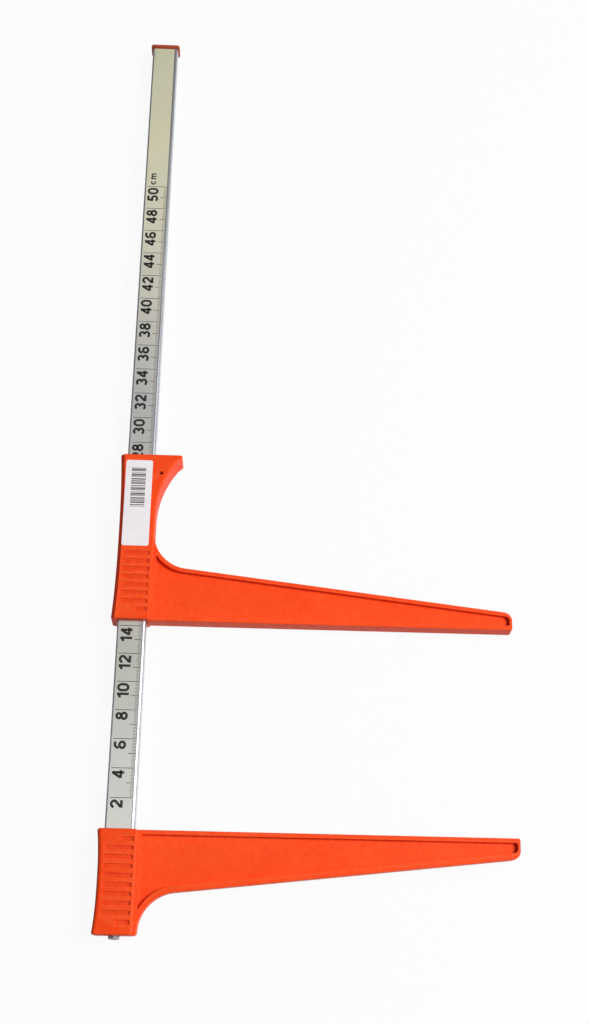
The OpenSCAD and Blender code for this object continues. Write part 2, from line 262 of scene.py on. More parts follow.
def shape_head(name, length, right_side, foot_lean, left_round, left_profile, rim_round):
    """A head with its measuring face on y = 0, whose right side is at right_side(y)."""
    head = block(name, Vector((left_x, 0, 0)), Vector((ridge_x, length, head_t)))
    edit()
    places = [length * i / rows for i in range(rows) if length * i / rows < length - end_room]
    for y in places[1:]:
        cut_across("y", y)
    for y in places + [length]:
        drawn_in = waist_draw * (1 - abs(2 * y / length - 1) ** waist_power)
        pick("VERT", lambda v: near(v.y, y) and near(v.x, left_x))
        shift(x=drawn_in)
        pick("VERT", lambda v: near(v.y, y) and near(v.x, ridge_x))
        shift(x=right_side(y) - ridge_x)
    if foot_lean > 0:
        slope_end(length, foot_lean)
    bpy.ops.mesh.select_all(action="SELECT")
    bpy.ops.mesh.dissolve_limited(angle_limit=almost_flat)
    end_x = right_side(length)
    end_y = length - foot_lean - 0.1 * MM
    left_zone = left_x + 2 * MM
    pick("EDGE", lambda a, b: max(a.x, b.x) < left_zone and abs(a.y - b.y) > 1 * MM and near(a.z, b.z))
    bpy.ops.mesh.bevel(offset=left_round, segments=6, profile=left_profile)
    pick("EDGE", lambda a, b: is_upright(a, b) and near(a.y, 0) and a.x > 0)
    bpy.ops.mesh.bevel(offset=face_corner, segments=4)
    pick("EDGE", lambda a, b: near(a.x, end_x) and near(b.x, end_x) and min(a.y, b.y) > end_y)
    if end_x > ridge_x + 1 * MM:
        bpy.ops.mesh.bevel(offset=tip_cut, segments=1)
        pick("EDGE", lambda a, b: is_upright(a, b) and a.x > end_x - tip_cut - 0.1 * MM)
        bpy.ops.mesh.bevel(offset=tip_corner, segments=1)
    else:
        bpy.ops.mesh.bevel(offset=far_corner, segments=4)
    bpy.ops.mesh.select_all(action="DESELECT")
    bpy.ops.mesh.edges_select_sharp(sharpness=sharp_turn)
    bpy.ops.mesh.bevel(offset=rim_round, segments=4)
    leave()
    return head


# %% [markdown]
# The sliding head widens at its far end into a rest for the thumb. Its hollow side is an arc of a circle, and
# its tip stands out a little further. The fixed head's foot leans in towards the back, so from the camera's
# place its end hardly shows. The long edges on the left are round on the fixed head and nearly flat bevels on
# the sliding one. A bevel's profile sets that: 0.5 is round and 0.25 is flat.

# %% Make both heads
thumb_start = slide_length - 47 * MM
thumb_radius = 70 * MM
tip_out = 1.9 * MM
foot_lean = 2.1 * MM


def thumb_side(y):
    rise = max(0.0, y - thumb_start)
    side = ridge_x + thumb_radius - math.sqrt(thumb_radius**2 - rise**2)
    return side + tip_out if near(y, slide_length) else side


slide_head = shape_head(
    "sliding_jaw_shell",
    slide_length,
    right_side=thumb_side,
    foot_lean=0.0,
    left_round=2.5 * MM,
    left_profile=0.25,
    rim_round=1.2 * MM,
)
fixed_head = shape_head(
    "fixed_jaw_shell",
    fixed_length,
    right_side=lambda y: ridge_x,
    foot_lean=foot_lean,
    left_round=2.8 * MM,
    left_profile=0.5,
    rim_round=1.7 * MM,
)
print("heads:", len(slide_head.data.polygons), "and", len(fixed_head.data.polygons), "faces")

# %% [markdown]
# Shapes are joined, or cut out of each other, with the boolean modifier. A small hole in the thumb rest takes
# a cord, so a round bar is cut out there first.


# %% Drill the cord hole
def combine(piece, other, way):
    """Joins the other shape to the piece, or cuts it out of it."""
    bpy.ops.object.select_all(action="DESELECT")
    bpy.context.view_layer.objects.active = piece
    piece.select_set(True)
    bpy.ops.object.modifier_add(type="BOOLEAN")
    modifier = piece.modifiers[-1]
    modifier.object = other
    modifier.operation = way
    modifier.solver = "EXACT"
    bpy.ops.object.modifier_apply(modifier=modifier.name)
    bpy.data.objects.remove(other)


def rod(name, radius, start, end, corners=32):
    """A round bar from one point to another."""
    along = end - start
    bpy.ops.object.select_all(action="DESELECT")
    bpy.ops.mesh.primitive_cylinder_add(
        vertices=corners,
        radius=radius,
        depth=along.length,
        location=(start + end) / 2,
        rotation=along.to_track_quat("Z", "Y").to_euler(),
    )
    bpy.ops.object.transform_apply(location=True, rotation=True, scale=True)
    bpy.context.object.name = name
    return bpy.context.object


cord_x, cord_from_end, cord_hole_r = 15.3 * MM, 14.6 * MM, 1.5 * MM
below = Vector((cord_x, slide_length - cord_from_end, -1 * MM))
above = below + mm(0, 0, 22)
combine(slide_head, rod("cord hole", cord_hole_r, below, above), "DIFFERENCE")

# %% [markdown]
# ## The jaws' arms
#
# An arm is a long wedge. Beside the head it runs up in a neck, and a round curve joins the neck to the
# wedge's back. It is made as a block with one end pushed down, then the neck is drawn up out of its back, and
# the inner corner between them is bevelled so widely that it turns into the curve.
#
# The hollow in each side of an arm has the same outline, moved in by the rim, which is thinner at the tip. So
# one function shapes both: the arm itself, and the shape that is cut out of it.

# %% Sizes of an arm
arm_low, arm_high = 4 * MM, 16 * MM
root_depth, tip_depth = 43.5 * MM, 12.5 * MM
root_round, tip_round, face_round = 25.5 * MM, 6 * MM, 1.5 * MM
rim, tip_rim, hollow_depth = 3 * MM, 1.8 * MM, 3.5 * MM
lean = math.atan((root_depth - tip_depth) / tip_x)


def back_of_arm(x):
    return tip_depth + (tip_x - x) * math.tan(lean)


# %% Shape an arm, or the hollow in one
def shape_arm(name, neck, top, moved_in, bottom, height):
    """The arm's outline moved in by a distance, from z = bottom up to z = height."""
    face_y = moved_in
    end_x = tip_x - min(moved_in, tip_rim)
    neck_x = neck - moved_in
    down = moved_in / math.cos(lean)
    piece = block(name, Vector((0, face_y, bottom)), Vector((end_x, root_depth, height)))
    edit()
    pick("VERT", lambda v: near(v.x, 0) and near(v.y, root_depth))
    shift(y=-down)
    pick("VERT", lambda v: near(v.x, end_x) and near(v.y, root_depth))
    shift(y=back_of_arm(end_x) - down - root_depth)
    cut_across("x", neck_x)
    pick("FACE", lambda c, n: n.y > 0.5 and c.x < neck_x)
    bpy.ops.mesh.extrude_region_move(TRANSFORM_OT_translate={"value": (0, top - back_of_arm(0), 0)})
    pick("VERT", lambda v: near(v.x, neck_x) and v.y > back_of_arm(neck_x) + 1 * MM)
    shift(y=back_of_arm(0) - back_of_arm(neck_x))
    bpy.ops.mesh.select_all(action="SELECT")
    bpy.ops.mesh.dissolve_limited(angle_limit=almost_flat)
    bend = math.radians(90) - lean
    corner_y = back_of_arm(neck_x) - down
    pick("EDGE", lambda a, b: is_upright(a, b) and near(a.x, neck_x) and near(a.y, corner_y, 0.2 * MM))
    bpy.ops.mesh.bevel(offset=(root_round + moved_in) * math.tan(bend / 2), segments=13)
    outer = max(tip_round - moved_in, face_round)
    pick("EDGE", lambda a, b: is_upright(a, b) and near(a.x, end_x) and a.y > face_y + 1 * MM)
    bpy.ops.mesh.bevel(offset=outer * math.tan(bend / 2), segments=5)
    pick("EDGE", lambda a, b: is_upright(a, b) and near(a.x, end_x) and near(a.y, face_y))
    bpy.ops.mesh.bevel(offset=face_round, segments=4)
    return piece


# %% [markdown]
# The outer edges of an arm are rounded before the hollows are cut, so that only the real outer edges are
# picked. The hollow's own floor edges are rounded on the cutting shape, which leaves a soft corner behind.
# The fixed arm's back is a little deeper in front than behind, because a moulded side leans in so that it
# leaves its mould, and in the photo that side is hidden. The arm starts just inside the head's round corner,
# so that its measuring face doesn't lie on the head's, because a boolean can fail where two faces share a
# plane.

# %% Make an arm with its hollows
arm_round = 0.8 * MM
arm_start = 11 * MM
deeper, draft = 1.2 * MM, 1.4 * MM
floor_round = 0.4 * MM
hollow_left = 14.6 * MM


def hollow_cutter(neck, top, bottom, height, floor):
    cutter = shape_arm("hollow", neck, top, rim, bottom, height)
    bpy.ops.mesh.select_all(action="SELECT")
    plane = Vector((hollow_left, 0, 0))
    bpy.ops.mesh.bisect(plane_co=plane, plane_no=(1, 0, 0), use_fill=True, clear_inner=True)
    pick("EDGE", lambda a, b: on_level(a, b, floor))
    bpy.ops.mesh.bevel(offset=floor_round, segments=3)
    leave()
    return cutter


def make_arm(neck, top, lean_back):
    arm = shape_arm("arm", neck, top, 0.0, arm_low, arm_high)
    if lean_back > 0:
        slope_end(top, lean_back)
        pick("VERT", lambda v: 2 * face_round < v.y < top - lean_back - 1 * MM)
        shift(y=deeper)
        pick("VERT", lambda v: near(v.z, arm_low) and 2 * face_round < v.y < top - lean_back)
        shift(y=-draft)
    end_y = top - lean_back - 0.2 * MM
    pick("EDGE", lambda a, b: near(a.x, neck) and near(b.x, neck) and min(a.y, b.y) > end_y)
    bpy.ops.mesh.bevel(offset=far_corner, segments=5)
    pick("EDGE", lambda a, b: on_level(a, b, arm_low) or on_level(a, b, arm_high))
    bpy.ops.mesh.bevel(offset=arm_round, segments=3)
    bpy.ops.mesh.select_all(action="SELECT")
    plane = Vector((arm_start, 0, 0))
    bpy.ops.mesh.bisect(plane_co=plane, plane_no=(1, 0, 0), use_fill=True, clear_inner=True)
    leave()
    front_floor, back_floor = arm_high - hollow_depth, arm_low + hollow_depth
    combine(arm, hollow_cutter(neck, top, front_floor, head_t, front_floor), "DIFFERENCE")
    combine(arm, hollow_cutter(neck, top, 0.0, back_floor, back_floor), "DIFFERENCE")
    return arm


root_top = back_of_arm(ridge_x + root_round) + root_round / math.cos(lean)
past_root, foot_width = 4 * MM, 2.1 * MM
slide_arm = make_arm(ridge_x, root_top + past_root, 0.0)
fixed_arm = make_arm(ridge_x + foot_width, fixed_length, foot_lean)
combine(slide_head, slide_arm, "UNION")
combine(fixed_head, fixed_arm, "UNION")
print("jaws:", len(slide_head.data.polygons), "and", len(fixed_head.data.polygons), "faces")

# %% [markdown]
# ## Grooves and slot
#
# The grip grooves are shallow and have round corners, so a cutter is a thin block with bevelled edges. The
# groove nearest the measuring face is short on both heads, and so is the last one of the fixed head. The beam
# runs through the sliding head in a slot, and stands in a socket in the fixed one.

# %% Cut the grooves and the way of the beam
groove_pitch, groove_start = 5.95 * MM, 6.9 * MM
groove_half, groove_depth = 1.5 * MM, 0.8 * MM
groove_left, short_left, groove_right = -9 * MM, 1 * MM, 10 * MM
groove_corner, groove_foot = 0.7 * MM, 0.3 * MM


def groove_cutter(y, left):
    low = Vector((left, y - groove_half, head_t - groove_depth))
    cutter = block("groove", low, Vector((groove_right, y + groove_half, head_t + 1 * MM)))
    edit()
    pick("EDGE", is_upright)
    bpy.ops.mesh.bevel(offset=groove_corner, segments=2)
    pick("EDGE", lambda a, b: on_level(a, b, head_t - groove_depth))
    bpy.ops.mesh.bevel(offset=groove_foot, segments=2)
    leave()
    return cutter


def cut_grooves(jaw, count, short):
    for i in range(count):
        left = short_left if i in short else groove_left
        combine(jaw, groove_cutter(groove_start + i * groove_pitch, left), "DIFFERENCE")


cut_grooves(slide_head, 8, [0])
cut_grooves(fixed_head, 10, [0, 9])
beam_low, beam_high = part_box("beam")
slot_gap, socket_gap = 0.4 * MM, 0.1 * MM


def beam_space(gap, start, end):
    low = Vector((beam_low.x - gap, start, beam_low.z - gap))
    return block("way of the beam", low, Vector((beam_high.x + gap, end, beam_high.z + gap)))


overshoot = 5 * MM
combine(slide_head, beam_space(slot_gap, -overshoot, slide_length + overshoot), "DIFFERENCE")
combine(fixed_head, beam_space(socket_gap, -overshoot, -beam_low.y), "DIFFERENCE")
print("grooves cut; slot", round((beam_high.x - beam_low.x + 2 * slot_gap) / MM, 1), "mm wide")

# %% [markdown]
# The fixed jaw was modelled with its head above the measuring face, as the sliding one, but it stands the
# other way up. A negative scale turns it over, and turns its faces inside out too, so they are recalculated.
# The sliding jaw is moved up to where the photo shows it. After that both are at their real places, and the
# holes for the small inner pieces can be cut round those pieces' own boxes.

# %% Put both jaws in their places
bpy.ops.object.select_all(action="DESELECT")
bpy.context.view_layer.objects.active = fixed_head
fixed_head.select_set(True)
fixed_head.scale.y = -1
bpy.ops.object.transform_apply(scale=True)
edit()
bpy.ops.mesh.select_all(action="SELECT")
bpy.ops.mesh.normals_make_consistent(inside=False)
leave()
bpy.ops.object.select_all(action="DESELECT")
bpy.context.view_layer.objects.active = slide_head
slide_head.select_set(True)
slide_head.location.y = slide_face
bpy.ops.object.transform_apply(location=True)


# %% Cut the inner pockets and the round holes
glide_gap, bore_gap = 0.1 * MM, 0.02 * MM
bolt_hole_r, recess_r = 2.2 * MM, 4.7 * MM
into_head, past_seat = mm(0, 0, 5), mm(0, 8, 0)
glides = [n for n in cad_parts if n.endswith("_shoe") or n.endswith("_pad")]
for name in glides:
    low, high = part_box(name)
    gap = Vector((glide_gap, glide_gap, glide_gap))
    combine(slide_head, block("pocket", low - gap, high + gap), "DIFFERENCE")
for name in ("lower_adjuster", "upper_adjuster"):
    low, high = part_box(name)
    centre = (low + high) / 2
    radius = (high.x - low.x) / 2 + bore_gap
    start = Vector((centre.x, centre.y, -1 * MM))
    combine(slide_head, rod("bore", radius, start, start + into_head), "DIFFERENCE")
seat_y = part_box("bolt_washer")[1].y
foot = Vector((0, -fixed_length - 1 * MM, head_t / 2))
seat = Vector((0, seat_y, head_t / 2))
combine(fixed_head, rod("bolt hole", bolt_hole_r, foot, seat + past_seat), "DIFFERENCE")
combine(fixed_head, rod("recess", recess_r, foot, seat), "DIFFERENCE")
print("inner pockets:", len(glides))

# %% [markdown]
# ## Smooth faces, sharp edges
#
# Smooth shading rounds what is faceted, but only where two faces meet at a small angle. Weighted normals then
# let the large flat faces keep their own direction, so that only the narrow round edges look curved.


# %% Finish the shading of a piece
def finish_shading(piece):
    bpy.ops.object.select_all(action="DESELECT")
    bpy.context.view_layer.objects.active = piece
    piece.select_set(True)
    edit()
    bpy.ops.mesh.select_all(action="SELECT")
    bpy.ops.mesh.remove_doubles(threshold=0.002 * MM)
    leave()
    bpy.ops.object.shade_smooth_by_angle(angle=math.radians(40))
    bpy.ops.object.modifier_add(type="WEIGHTED_NORMAL")
    piece.modifiers[-1].keep_sharp = True
    bpy.ops.object.modifier_apply(modifier=piece.modifiers[-1].name)


for jaw in (slide_head, fixed_head):
    finish_shading(jaw)
    print(jaw.name, len(jaw.data.polygons), "faces,", len(jaw.data.loops), "corners")

# %% [markdown]
# ## The beam
#
# The beam is a drawn tube with a shallow bed for the printed strip. Its long edge on the right is much
# rounder than the others. That edge mirrors the panel of light and is the white line beside the scale in the
# photo. The tube is a block with bevelled edges. The cavity, the strip's bed and the holes for two pins are
# cut out of it.

# %% Model the beam
wall = 1.3 * MM
right_edge, other_edges = 2.2 * MM, 0.5 * MM
strip_low, strip_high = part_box("scale_strip")


def runs_along_y(a, b):
    return near(a.x, b.x) and near(a.z, b.z)


beam = block("beam_shell", beam_low, beam_high)
edit()
pick("EDGE", lambda a, b: runs_along_y(a, b) and near(a.x, beam_high.x) and near(a.z, beam_high.z))
bpy.ops.mesh.bevel(offset=right_edge, segments=8)
pick("EDGE", lambda a, b: runs_along_y(a, b) and (near(a.z, beam_low.z) or near(a.x, beam_low.x)))
bpy.ops.mesh.bevel(offset=other_edges, segments=3)
leave()
inside = Vector((wall, -overshoot, wall))
combine(beam, block("cavity", beam_low + inside, beam_high - inside), "DIFFERENCE")
bed_gap = 0.1 * MM
bed_low = Vector((strip_low.x - bed_gap, beam_low.y - overshoot, strip_low.z))
bed_high = Vector((strip_high.x + bed_gap, beam_high.y + overshoot, head_t))
combine(beam, block("bed", bed_low, bed_high), "DIFFERENCE")
pins_low, pins_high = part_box("anchor_pins")
pin_r = (pins_high.y - pins_low.y) / 2
for x in (pins_low.x + pin_r, pins_high.x - pin_r):
    start = Vector((x, pins_low.y + pin_r, 0))
    end = Vector((x, pins_low.y + pin_r, head_t))
    combine(beam, rod("pin hole", pin_r + bore_gap, start, end), "DIFFERENCE")
finish_shading(beam)
print("beam:", len(beam.data.polygons), "faces")

# %% [markdown]
# ## The end cap
#
# The cap closes the beam's far end. Its flange is a plate with round corners, and a plug on its inner side
# holds it in the beam. The plug is drawn out of the flange: inset, then extrude.

# %% Model the end cap
low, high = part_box("end_cap")
flange_t, flange_corner = 2 * MM, 2.2 * MM
outer_rim, inner_rim = 0.9 * MM, 0.3 * MM
plug_inset, plug_length, plug_nose = 3.2 * MM, 13 * MM, 2 * MM
cap = block("end_cap_shell", Vector((low.x, high.y - flange_t, low.z)), high)
edit()
pick("EDGE", runs_along_y)
bpy.ops.mesh.bevel(offset=flange_corner, segments=6)
pick("EDGE", lambda a, b: near(a.y, high.y) and near(b.y, high.y))
bpy.ops.mesh.bevel(offset=outer_rim, segments=4)
pick("EDGE", lambda a, b: near(a.y, high.y - flange_t) and near(b.y, high.y - flange_t))
bpy.ops.mesh.bevel(offset=inner_rim, segments=2)
pick("FACE", lambda c, n: n.y < -0.99)
bpy.ops.mesh.inset(thickness=plug_inset)
bpy.ops.mesh.extrude_region_move(TRANSFORM_OT_translate={"value": (0, -plug_length, 0)})
bpy.ops.mesh.extrude_region_move(TRANSFORM_OT_translate={"value": (0, -plug_nose, 0)})
bpy.ops.transform.resize(value=(0.9, 1, 0.8), center_override=(0, low.y, head_t / 2))
leave()
finish_shading(cap)
print("end cap:", len(cap.data.polygons), "faces")

# %% [markdown]
# ## The printed scale
#
# The strip in the beam's face carries a line for every millimetre from 2 to 50 cm. The lines differ in
# length: every second centimetre has one right across, with its number under it. One short line is modelled,
# and array modifiers repeat it: four in a row, twice in each centimetre, once for each of 48 centimetres. In
# the photo the print starts about a millimetre past the fixed jaw's face, and so it does here.

# %% Draw the lines
strip_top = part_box("scale_strip")[1].z
ink_t = 0.02 * MM
line_right = 7.2 * MM


def line_set(name, left, start, thickness, arrays):
    """A line from x = left to the strip's right end, repeated by (count, distance) pairs."""
    low = Vector((left, start - thickness / 2, strip_top))
    lines = block(name, low, Vector((line_right, start + thickness / 2, strip_top + ink_t)))
    for count, distance in arrays:
        bpy.ops.object.modifier_add(type="ARRAY")
        modifier = lines.modifiers[-1]
        modifier.count = count
        modifier.use_relative_offset = False
        modifier.use_constant_offset = True
        modifier.constant_offset_displace = (0, distance, 0)
        bpy.ops.object.modifier_apply(modifier=modifier.name)
    return lines


scale_zero = 1.1 * MM
first_mark, marks = scale_zero + 20 * MM, 25
bold_line, thin_line = 0.45 * MM, 0.25 * MM
every_2_cm, odd_cm = [(marks, 20 * MM)], [(marks - 1, 20 * MM)]
every_cm = [(2 * (marks - 1), 10 * MM)]
every_mm = [(4, 1 * MM), (2, 5 * MM)] + every_cm
line_pieces = [
    line_set("two_centimetre_lines", -7.9 * MM, first_mark, bold_line, every_2_cm),
    line_set("centimetre_lines", 2.6 * MM, first_mark + 10 * MM, bold_line, odd_cm),
    line_set("half_centimetre_lines", 4.8 * MM, first_mark + 5 * MM, thin_line, every_cm),
    line_set("millimetre_lines", 5.2 * MM, first_mark + 1 * MM, thin_line, every_mm),
]
print("lines:", sum(len(p.data.polygons) for p in line_pieces) // 6)

# %% [markdown]
# The numbers are drawn with strokes, as a sign painter would: each digit is a few lines and arcs in a box one
# unit high. A curve with a round bevel makes each stroke a thick tube, and flattening the tubes leaves a film
# of ink. The strokes run up the beam, so a number's top points to the left.


# %% Strokes of the digits
def bow(x, y, rx, ry, start, end):
    """Points on an arc round (x, y), from one angle to another in degrees."""
    steps = max(6, int(abs(end - start) / 15))
    angles = [math.radians(start + (end - start) * i / steps) for i in range(steps + 1)]
    return [(x + rx * math.cos(a), y + ry * math.sin(a)) for a in angles]


STROKES = {
    "0": [bow(0.33, 0.615, 0.235, 0.3, 0, 180) + bow(0.33, 0.385, 0.235, 0.3, 180, 360) + [(0.565, 0.615)]],
    "1": [[(0.43, 0.0), (0.43, 1.0)], [(0.14, 0.745), (0.3, 0.785), (0.41, 0.93)]],
    "2": [bow(0.33, 0.68, 0.235, 0.235, 175, -30) + [(0.12, 0.14)], [(0.05, 0.085), (0.62, 0.085)]],
    "3": [bow(0.31, 0.715, 0.215, 0.2, 155, -90), bow(0.31, 0.3, 0.24, 0.215, 90, -155)],
    "4": [[(0.46, 0.0), (0.46, 1.0)], [(0.44, 0.93), (0.09, 0.31)], [(0.03, 0.275), (0.64, 0.275)]],
    "5": [
        [(0.6, 0.915), (0.14, 0.915)],
        [(0.2, 0.93), (0.13, 0.47)],
        bow(0.31, 0.325, 0.24, 0.24, 135, -150),
    ],
    "6": [bow(0.33, 0.31, 0.235, 0.225, 0, 360), bow(0.38, 0.6, 0.285, 0.315, 180, 50)],
    "8": [bow(0.33, 0.725, 0.19, 0.19, 0, 360), bow(0.33, 0.295, 0.235, 0.21, 0, 360)],
    "c": [bow(0.33, 0.31, 0.225, 0.225, 50, 310)],
    "m": [
        [(0.09, 0.0), (0.09, 0.62)],
        bow(0.25, 0.4, 0.16, 0.135, 180, 0) + [(0.41, 0.0)],
        bow(0.57, 0.4, 0.16, 0.135, 180, 0) + [(0.73, 0.0)],
    ],
}
ADVANCE = {"1": 0.62, "m": 0.9}
USUAL_ADVANCE = 0.74
SIDE_GAP = 0.08
widened = 1.1


def write(name, words, height, stroke, x, end_y):
    """Words whose baseline is at x and whose last stroke ends at y = end_y."""
    data = bpy.data.curves.new(name, "CURVE")
    data.dimensions = "3D"
    data.bevel_depth = stroke / 2
    data.bevel_resolution = 1
    data.use_fill_caps = True
    wide = widened * height
    widths = [ADVANCE.get(letter, USUAL_ADVANCE) * wide for letter in words]
    start = end_y - sum(widths) + SIDE_GAP * wide
    for letter, width in zip(words, widths):
        for points in STROKES[letter]:
            spline = data.splines.new("POLY")
            closed = math.dist(points[0], points[-1]) < 1e-6
            spline.points.add(len(points) - 1 - closed)
            for point, (across, upward) in zip(spline.points, points):
                point.co = (x - upward * height, start + across * wide, 0, 1)
            spline.use_cyclic_u = closed
        start += width
    bpy.ops.object.select_all(action="DESELECT")
    words_object = bpy.data.objects.new(name, data)
    bpy.context.scene.collection.objects.link(words_object)
    bpy.context.view_layer.objects.active = words_object
    words_object.select_set(True)
    bpy.ops.object.convert(target="MESH")
    words_object.scale.z = ink_t / stroke
    words_object.location.z = strip_top + ink_t / 2
    bpy.ops.object.transform_apply(location=True, scale=True)
    return words_object


# %% Write the numbers
number_height, number_x, stroke = 8.1 * MM, 0.9 * MM, 1.75 * MM
unit_height, unit_x, unit_stroke = 6.2 * MM, -1.4 * MM, 1.1 * MM
under_line, unit_end = 1.3 * MM, scale_zero + 512.2 * MM
number_pieces = []
for cm in range(2, 51, 2):
    end_y = scale_zero + cm * 10 * MM - under_line
    number_pieces.append(write(f"number_{cm}", str(cm), number_height, stroke, number_x, end_y))
number_pieces.append(write("unit", "cm", unit_height, unit_stroke, unit_x, unit_end))
bpy.ops.object.select_all(action="DESELECT")
for piece in number_pieces:
    piece.select_set(True)
bpy.context.view_layer.objects.active = number_pieces[0]
bpy.ops.object.join()
numbers = number_pieces[0]
numbers.name = "scale_numbers"
print("numbers:", marks, "and the unit,", len(numbers.data.polygons), "faces")

# %% [markdown]
# ## The sticker
#
# The white sticker on the sliding head is a thin plate with round corners, thinner than its solid by the ink
# that lies on it. It gets a block of plain bars and nothing else. A simple count sets how wide each bar and
# each gap is, so the bars say nothing.

# %% Model the sticker and draw its bars
sticker_low, sticker_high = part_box("label")
sticker_corner = 1.5 * MM
paper_top = sticker_high.z - ink_t
sticker_plate = block("label_shell", sticker_low, Vector((sticker_high.x, sticker_high.y, paper_top)))
edit()
pick("EDGE", is_upright)
bpy.ops.mesh.bevel(offset=sticker_corner, segments=6)
leave()
bar_left, bar_right = -5.9 * MM, 4.4 * MM
bar_y, bar_end = sticker_high.y - 36.1 * MM, sticker_high.y - 4.9 * MM
module = 0.33 * MM
bars = []
count = 0
while bar_y < bar_end - 3 * module:
    thickness = (1 + (count * 7) % 3) * module
    low = Vector((bar_left, bar_y, paper_top))
    bars.append(block("bar", low, Vector((bar_right, bar_y + thickness, sticker_high.z))))
    bar_y += thickness + (1 + (count * 5 + 1) % 4 % 3) * module
    count += 1
bpy.ops.object.select_all(action="DESELECT")
for bar in bars:
    bar.select_set(True)
bpy.context.view_layer.objects.active = bars[0]
bpy.ops.object.join()
bars = bars[0]
bars.name = "sticker_bars"
print("bars:", count)

# %% [markdown]
# ## Finishes
#
# Several finishes share the same small effects: a fine grain, a slow drift of colour, fine lines along a
# direction, and rubbed edges. Each effect is a node group that is built once. It puts out only numbers or a
# colour, and each material keeps its own shader, so the groups can be reused with other values.
#
# All patterns read Object coordinates. The pieces sit at the origin in metres, so a scale of 1000 means about
# one spot for each millimetre.


# %% Start a node group
def new_group(name, takes, gives):
    tree = bpy.data.node_groups.new(name, "ShaderNodeTree")
    for socket, kind, value in takes:
        made = tree.interface.new_socket(socket, in_out="INPUT", socket_type=kind)
        made.default_value = value
    for socket, kind in gives:
        tree.interface.new_socket(socket, in_out="OUTPUT", socket_type=kind)
    return tree, tree.nodes.new("NodeGroupInput").outputs, tree.nodes.new("NodeGroupOutput").inputs


def maths(tree, operation, a, b):
    made = tree.nodes.new("ShaderNodeMath")
    made.operation = operation
    for socket, value in zip(made.inputs, (a, b)):
        if isinstance(value, bpy.types.NodeSocket):
            tree.links.new(value, socket)
        else:
            socket.default_value = value
    return made.outputs[0]


NUMBER, COLOUR, ARROW = "NodeSocketFloat", "NodeSocketColor", "NodeSocketVector"

# %% [markdown]
# Moulded plastic copies the sparked surface of its mould: many tiny dimples of unequal size. Two noises of
# different scale added together give that, as a height for a Bump node.

# %% Group: moulded grain
grain, given, out = new_group(
    "moulded grain", [("Scale", NUMBER, 1500.0), ("Unevenness", NUMBER, 0.4)], [("Height", NUMBER)]
)
place = node(grain, "ShaderNodeTexCoord").outputs["Object"]
fine = node(grain, "ShaderNodeTexNoise", Vector=place, Scale=given["Scale"], Detail=2.0, Roughness=0.6)
broad_scale = maths(grain, "MULTIPLY", given["Scale"], 0.22)
broad = node(grain, "ShaderNodeTexNoise", Vector=place, Scale=broad_scale, Detail=1.0)
broad_part = maths(grain, "MULTIPLY", broad.outputs["Fac"], given["Unevenness"])
grain.links.new(maths(grain, "ADD", fine.outputs["Fac"], broad_part), out["Height"])

# %% [markdown]
# No surface has quite the same colour all over. A slow drift between two colours, with a few faint blotches,
# is enough to take the computer's evenness away.

# %% Group: drifting colour
drift, given, out = new_group(
    "drifting colour",
    [("Color", COLOUR, (1, 1, 1, 1)), ("Other", COLOUR, (1, 1, 1, 1)), ("Scale", NUMBER, 25.0)],
    [("Color", COLOUR), ("Drift", NUMBER)],
)
place = node(drift, "ShaderNodeTexCoord").outputs["Object"]
clouds = node(drift, "ShaderNodeTexNoise", Vector=place, Scale=given["Scale"], Detail=4.0, Roughness=0.55)
spread = node(drift, "ShaderNodeMapRange", Value=clouds.outputs["Fac"], From_Min=0.3, From_Max=0.7)
blend = node(drift, "ShaderNodeMix")
blend.data_type = "RGBA"
drift.links.new(spread.outputs["Result"], blend.inputs[0])
drift.links.new(given["Color"], blend.inputs[6])
drift.links.new(given["Other"], blend.inputs[7])
drift.links.new(blend.outputs[2], out["Color"])
drift.links.new(spread.outputs["Result"], out["Drift"])

# %% [markdown]
# Drawn metal and ground faces have fine lines in one direction. A noise whose coordinates are stretched along
# that direction gives such lines. Stretch says how fine the pattern is along X, Y and Z.

# %% Group: fine lines
lines_group, given, out = new_group(
    "fine lines", [("Stretch", ARROW, (1.0, 1.0, 1.0))], [("Height", NUMBER), ("Lines", NUMBER)]
)
place = node(lines_group, "ShaderNodeTexCoord").outputs["Object"]
stretched = node(lines_group, "ShaderNodeVectorMath")
stretched.operation = "MULTIPLY"
lines_group.links.new(place, stretched.inputs[0])
lines_group.links.new(given["Stretch"], stretched.inputs[1])
noise = node(lines_group, "ShaderNodeTexNoise", Vector=stretched.outputs[0], Scale=1.0, Detail=3.0)
sharper = node(lines_group, "ShaderNodeMapRange", Value=noise.outputs["Fac"], From_Min=0.35, From_Max=0.65)
lines_group.links.new(noise.outputs["Fac"], out["Height"])
lines_group.links.new(sharper.outputs["Result"], out["Lines"])

# %% [markdown]
# Hands rub a tool's edges, and its edges also get a painted highlight, while its low places get painted
# shade. Both follow the shape, so each piece of plastic keeps two attributes: edge says how sharp the piece
# is at each point, and low says which points lie in the grip grooves or at the foot of the hollows' walls.
# The group for rubbed edges reads the first, and a noise breaks it up. The plastic itself reads the second.


# %% Keep how sharp each point of a piece is, and which points lie low
def keep_lows(piece, first_y, last_y):
    """Marks the grooves' floors between two places along the beam, and the foot of the hollows' walls, for
    painted shade.
    """
    mesh = piece.data
    groove_floor, hollow_floor = head_t - groove_depth, arm_high - hollow_depth
    slack = 0.1 * MM
    shaded_points = [0.0] * len(mesh.vertices)
    for i, vertex in enumerate(mesh.vertices):
        x, y, z = vertex.co
        in_groove = groove_left - slack < x < groove_right + slack and first_y < y < last_y
        if in_groove and near(z, groove_floor, 0.35 * MM):
            shaded_points[i] = 1.0
        if x > hollow_left - slack and 0.05 * MM < z - hollow_floor < 0.95 * MM:
            shaded_points[i] = 1.0
    layer = mesh.attributes.new("low", "FLOAT", "POINT")
    layer.data.foreach_set("value", shaded_points)


